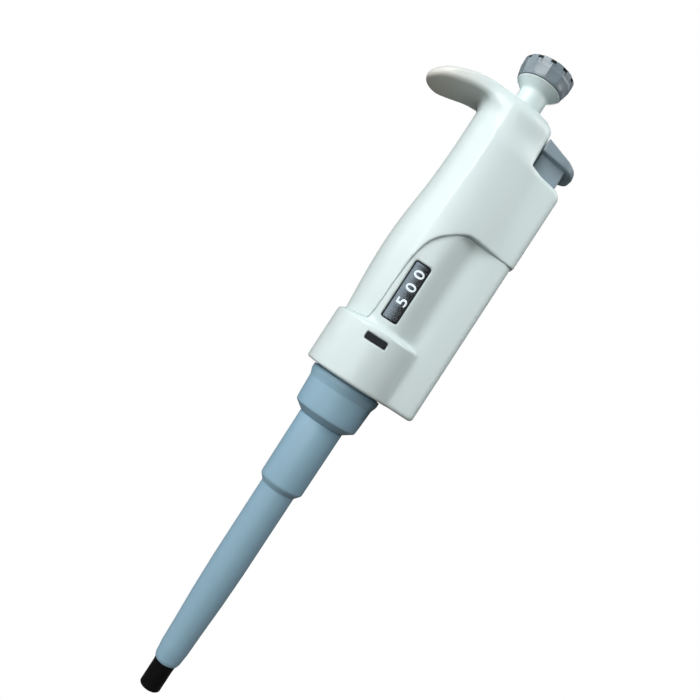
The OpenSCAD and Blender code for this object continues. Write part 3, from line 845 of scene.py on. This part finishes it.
bell = lathe("ejector_bell", soft_profile([
    (7.5, 98.62, 0.1), (7.75, 98.62, 0.2), (10.8, 100.8, 0.8), (11.0, 103.2, 0.8), (11.3, 109.6, 2),
    (12.0, 111.6, 1.0), (12.05, 113.2, 0.2), (11.2, 113.2, 0.1), (11.2, 124.5, 0.2), (10.2, 124.5, 0.2),
    (10.2, 101.9, 0.3), (7.5, 101.9, 0.2)]), "ejector")
finish_piece(bell, "ejector_blue", "ejector_collar")


ARM_ROOT_X, ARM_END_X = 10.6, 18.4
ARM_HALF = 3
ARM_THICK = 2.5
SCREW_HOLE_R = 0.85


def arm_field(x, y, z):
    """Arm of the bell, with the hole for the rod's screw."""
    bar = np.maximum(np.abs(y) - ARM_HALF, np.maximum(ARM_ROOT_X - x, x - ARM_END_X))
    lug = np.minimum(bar, np.hypot(x - ARM_END_X, y) - ARM_HALF)
    lug = round_edge(lug, np.abs(z - BELL_TOP + ARM_THICK / 2) - ARM_THICK / 2, 0.3)
    return np.maximum(lug, SCREW_HOLE_R - np.hypot(x - ROD_X, y))


arm_low = (ARM_ROOT_X, -ARM_HALF, BELL_TOP - ARM_THICK)
arm_high = (ARM_END_X + ARM_HALF, ARM_HALF, BELL_TOP)
points, quads = field_mesh(arm_field, arm_low, arm_high, 0.3)
finish_piece(make_object("ejector_arm", points, quads, "ejector"), "ejector_blue")

hub = lathe("knob_neck", soft_profile([
    (3.2, 196, 0.1), (4.85, 196, 0.2), (4.85, 221.3, 1.8), (7.4, 223.65, 0.4), (7.6, 224.05, 0.15),
    (6.1, 224.1, 0.1), (6.1, 227.4, 0.1), (3.2, 227.4, 0.1)]), "knob")
finish_piece(hub, "body_white", "knob_hub")

RING_STEPS = 576
RIDGES = 12
RIDGE_START = math.radians(-94)
NOTCH_HALF = math.radians(6.0)
NOTCH_DEPTH = 1.0
NOTCH_FILL = 1.42
SIDE_R, RIM_Z = 7.4, 229.8
SCOOP_LOW, SCOOP_HIGH, SCOOP_DEPTH = 224.4, 229.9, 0.4


def ridge_phase(angle):
    """Place between two ridges, from -0.5 to 0.5 with a ridge at 0."""
    return ((angle - RIDGE_START) * RIDGES / (2 * math.pi) + 0.5) % 1.0 - 0.5


def in_notch(angle):
    """1 inside a notch of the rim and 0 outside it."""
    off = abs(ridge_phase(angle)) * 2 * math.pi / RIDGES
    return 1.0 if off < NOTCH_HALF else 0.0


def ring_wave(r, z, angle):
    """Scoops between the ridges of the ring's side, and notches in its rim."""
    if r > SIDE_R:
        u = ridge_phase(angle)
        scoop = 1 - (2 * abs(0.5 - abs(u))) ** 2
        fade = min(1.0, max(0.0, (z - SCOOP_LOW) / 1.2), max(0.0, (SCOOP_HIGH - z) / 1.0))
        r -= SCOOP_DEPTH * fade * scoop
    if z > RIM_Z:
        z -= NOTCH_DEPTH * in_notch(angle)
    return r, z


ring = lathe("knob_grip_ring", soft_profile([
    (6.25, 224.2, 0.05), (7.8, 224.2, 0.2), (8.15, 225.2, 0.8), (8.72, 227.6, 2.0), (8.72, 228.9, 0),
    (8.72, 230.2, 0.15), (8.35, 230.4, 0.15), (7.2, 230.4, 0.1), (7.2, 228.5, 0.05), (6.25, 228.5, 0.05)]),
    "knob", steps=RING_STEPS, wave=ring_wave)
finish_piece(ring, "ring_grey", "knob_ring")


def cap_wave(r, z, angle):
    """Tabs of the cap that fill the ring's notches."""
    if r > 7.0 and z > 228.8:
        r += NOTCH_FILL * in_notch(angle)
    return r, z


cap = lathe("knob_cap_insert", soft_profile([
    (0.01, 227.45, 0), (6.1, 227.45, 0.05), (6.1, 228.55, 0.05), (7.08, 228.55, 0.02), (7.08, 229.42, 0.0),
    (7.12, 229.47, 0.0), (7.12, 230.25, 0.05), (6.6, 230.3, 0.1), (0.01, 230.15, 0)]),
    "knob", steps=RING_STEPS, wave=cap_wave)
finish_piece(cap, "insert_black", "knob_cap")

# ---------------------------------------------------------------- thumb plate

# heights of the plate's top and underside against X
plate_top = smooth_curve([(5, 211.96), (22, 206.4), (30, 203.8)], 0.8)
plate_bottom = smooth_curve([(5, 206.8), (11.3, 205.5), (23.4, 203.75), (30, 202.8)], 0.8)


WEB_MIDDLE_X, WEB_REACH = 16.2, 4.75
WEB_LOW_Z, WEB_HIGH_Z = 192, 206
ROD_HOLE_R, ROD_HOLE_TOP = 1.34, 197


def thumb_field(x, y, z):
    """The thumb plate and its web, with the hole for the ejector's rod."""
    top = round_edge(z - plate_top(x), np.abs(y) - THUMB_HIGH[1], 0.8)
    plan = round_edge(x - THUMB_HIGH[0], np.abs(y) - THUMB_HIGH[1], 6.5)
    plate = round_edge(np.maximum(plan, top), round_edge(z - plate_top(x), x - THUMB_HIGH[0], 1.6), 0.3)
    plate = round_edge(plate, plate_bottom(x) - z, 0.45)
    web_plan = round_edge(np.abs(x - WEB_MIDDLE_X) - WEB_REACH, np.abs(y) - WEB_HALF, 0.5)
    web = round_edge(web_plan, np.maximum(z - WEB_HIGH_Z, WEB_LOW_Z - z), 0.2)
    shape = smooth_max(smooth_min(plate, web, 0.3), DOME_BACK_X + 0.25 - x, 0.2)
    rod_hole = np.maximum(np.hypot(x - ROD_X, y) - ROD_HOLE_R, z - ROD_HOLE_TOP)
    return np.maximum(shape, -rod_hole)


points, quads = field_mesh(thumb_field, THUMB_LOW, THUMB_HIGH + 0.5, 0.35)
finish_piece(make_object("thumb_plate", points, quads, "ejector"), "thumb_grey", "ejector_button")

# ---------------------------------------------------------------- springs


def coil(name, radius, wire, low, high, turns, first_turn, body):
    """Round wire coiled about the plunger axis, from low to high, closed at both ends."""
    steps, sides = 24 * turns, 8
    vertices, faces = [], []
    for i in range(steps + 1):
        a = 2 * math.pi * (first_turn + turns * i / steps)
        z = low + (high - low) * i / steps
        for k in range(sides):
            b = 2 * math.pi * k / sides
            r = radius + wire * math.cos(b)
            vertices.append((r * math.cos(a), r * math.sin(a), z + wire * math.sin(b)))
    for i in range(steps):
        for k in range(sides):
            n = (k + 1) % sides
            faces.append((i * sides + k, (i + 1) * sides + k, (i + 1) * sides + n, i * sides + n))
    faces.append(tuple(range(sides)))
    faces.append(tuple(steps * sides + k for k in reversed(range(sides))))
    return make_object(name, vertices, faces, body)


# the main spring in two pieces: its lower turns belong to no moving body, and its upper turns move with the
# volume lift
spring_low, spring_high = box_mm("return_spring")
WIRE = 0.4
SPRING_R = spring_high[0] - WIRE
FOOT_Z, HEAD_Z = spring_low[2] + WIRE, spring_high[2] - WIRE
SPLIT_Z = FOOT_Z + 6.2
lower_turns = coil("return_spring_lower", SPRING_R, WIRE, FOOT_Z, SPLIT_Z, 2, 0, None)
finish_piece(lower_turns, "steel", "return_spring")
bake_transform(lower_turns)
upper_turns = coil("return_spring_upper", SPRING_R, WIRE, SPLIT_Z, HEAD_Z, 3, 2, "volume_lift")
finish_piece(upper_turns, "steel")
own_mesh(upper_turns)

# the ejector's spring: a copy of its CAD coil, fixed to the handle
low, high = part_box("ejector_spring")
ejector_coil = bpy.data.objects.new("ejector_spring_coil", frame["nodes"]["ejector_spring"].data.copy())
bpy.context.scene.collection.objects.link(ejector_coil)
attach(ejector_coil, "handle")
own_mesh(ejector_coil)
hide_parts("ejector_spring")

# ---------------------------------------------------------------- floor, light and camera

# the object stands upright in the frame, and the camera is rolled by TILT; all of this is in metres
FLOOR_Z = -0.045
TILT = 0.578
EYE = Vector((-0.0014, -0.2223, 0.1208))
AIM = Vector((-0.00485, 0, 0.1224))


def stage_material():
    """Pale floor that reads as plain white to the camera, so that it has no horizon."""
    material = bpy.data.materials.new("pale_floor")
    material.use_nodes = True
    nodes, links = material.node_tree.nodes, material.node_tree.links
    shader = nodes["Principled BSDF"]
    grain = nodes.new("ShaderNodeTexNoise")
    grain.inputs["Scale"].default_value = 8.0
    tint = nodes.new("ShaderNodeMix")
    tint.data_type = "RGBA"
    tint.inputs["A"].default_value = (0.15, 0.13, 0.12, 1)
    tint.inputs["B"].default_value = (0.17, 0.15, 0.13, 1)
    links.new(grain.outputs["Fac"], tint.inputs["Factor"])
    links.new(tint.outputs["Result"], shader.inputs["Base Color"])
    shader.inputs["Roughness"].default_value = 0.9
    seen = nodes.new("ShaderNodeLightPath")
    white = nodes.new("ShaderNodeEmission")
    white.inputs["Color"].default_value = (1, 1, 1, 1)
    white.inputs["Strength"].default_value = BACKDROP
    mix = nodes.new("ShaderNodeMixShader")
    links.new(seen.outputs["Is Camera Ray"], mix.inputs["Fac"])
    links.new(shader.outputs["BSDF"], mix.inputs[1])
    links.new(white.outputs["Emission"], mix.inputs[2])
    links.new(mix.outputs["Shader"], nodes["Material Output"].inputs["Surface"])
    return material


# strength of the white backdrop, direction of the bright side, and the studio's three brightnesses
BACKDROP = 1.0
BRIGHT_SIDE = (-0.58, -0.45, 0.68)
STUDIO_STEPS = (0.01, 0.02, 0.06)
scene = bpy.context.scene
scene.view_settings.view_transform = "Standard"

floor_mesh = bpy.data.meshes.new("floor")
size = 0.5
floor_corners = [(x, y, FLOOR_Z) for x, y in ((-size, -size), (size, -size), (size, size), (-size, size))]
floor_mesh.from_pydata(floor_corners, [], [(0, 1, 2, 3)])
floor = bpy.data.objects.new("floor", floor_mesh)
floor.data.materials.append(stage_material())
scene.collection.objects.link(floor)

world = bpy.data.worlds.new("studio")
scene.world = world
world.use_nodes = True
nodes, links = world.node_tree.nodes, world.node_tree.links
ambient = nodes["Background"]
ambient.inputs["Strength"].default_value = 1.0
# the studio is bright up and left of the camera and dim on the far side
looking = nodes.new("ShaderNodeTexCoord")
toward = nodes.new("ShaderNodeVectorMath")
toward.operation = "DOT_PRODUCT"
toward.inputs[1].default_value = BRIGHT_SIDE
links.new(looking.outputs["Generated"], toward.inputs[0])
studio = nodes.new("ShaderNodeValToRGB")
dim, mid, bright = STUDIO_STEPS
studio.color_ramp.elements[0].position = 0.0
studio.color_ramp.elements[0].color = (dim, dim, dim, 1)
studio.color_ramp.elements[1].position = 1.0
studio.color_ramp.elements[1].color = (bright, bright, bright, 1)
half = studio.color_ramp.elements.new(0.5)
half.color = (mid, mid, mid, 1)
spread = nodes.new("ShaderNodeMapRange")
spread.inputs["From Min"].default_value = -1.0
links.new(toward.outputs["Value"], spread.inputs["Value"])
links.new(spread.outputs["Result"], studio.inputs["Fac"])
links.new(studio.outputs["Color"], ambient.inputs["Color"])
seen_white = nodes.new("ShaderNodeBackground")
seen_white.inputs["Color"].default_value = (1, 1, 1, 1)
seen_white.inputs["Strength"].default_value = BACKDROP
path = nodes.new("ShaderNodeLightPath")
choose = nodes.new("ShaderNodeMixShader")
links.new(path.outputs["Is Camera Ray"], choose.inputs["Fac"])
links.new(ambient.outputs["Background"], choose.inputs[1])
links.new(seen_white.outputs["Background"], choose.inputs[2])
links.new(choose.outputs["Shader"], nodes["World Output"].inputs["Surface"])


def softbox(name, place, target, width, height, watts):
    """Rectangular area light at place, turned to target."""
    light = bpy.data.lights.new(name, "AREA")
    light.shape = "RECTANGLE"
    light.size = width
    light.size_y = height
    light.energy = watts
    holder = bpy.data.objects.new(name, light)
    holder.location = place
    holder.rotation_euler = (Vector(target) - Vector(place)).to_track_quat("-Z", "Y").to_euler()
    scene.collection.objects.link(holder)


STUDIO_AIM = (0, 0, 0.15)
softbox("key", (-0.42, -0.42, 0.42), STUDIO_AIM, 0.30, 0.45, 2.9)
softbox("side", (-0.62, -0.12, 0.35), STUDIO_AIM, 0.30, 0.45, 1.0)
softbox("front", (-0.15, -0.65, 0.20), STUDIO_AIM, 0.40, 0.40, 1.25)
softbox("rim", (0.40, -0.10, 0.55), STUDIO_AIM, 0.40, 0.40, 1.8)
softbox("back", (0.10, 0.50, 0.45), STUDIO_AIM, 0.40, 0.40, 1.2)

camera_data = bpy.data.cameras.new("camera")
camera_data.sensor_width = 36.0
camera_data.lens = 36.27
camera_data.clip_start = 0.01
camera = bpy.data.objects.new("camera", camera_data)
scene.collection.objects.link(camera)
forward = (AIM - EYE).normalized()
up_hint = Vector((-math.sin(TILT), 0, math.cos(TILT)))
right = forward.cross(up_hint).normalized()
up = right.cross(forward)
turn = Matrix((right, up, -forward)).transposed().to_4x4()
camera.matrix_world = Matrix.Translation(EYE) @ turn
scene.camera = camera

bpy.context.view_layer.update()
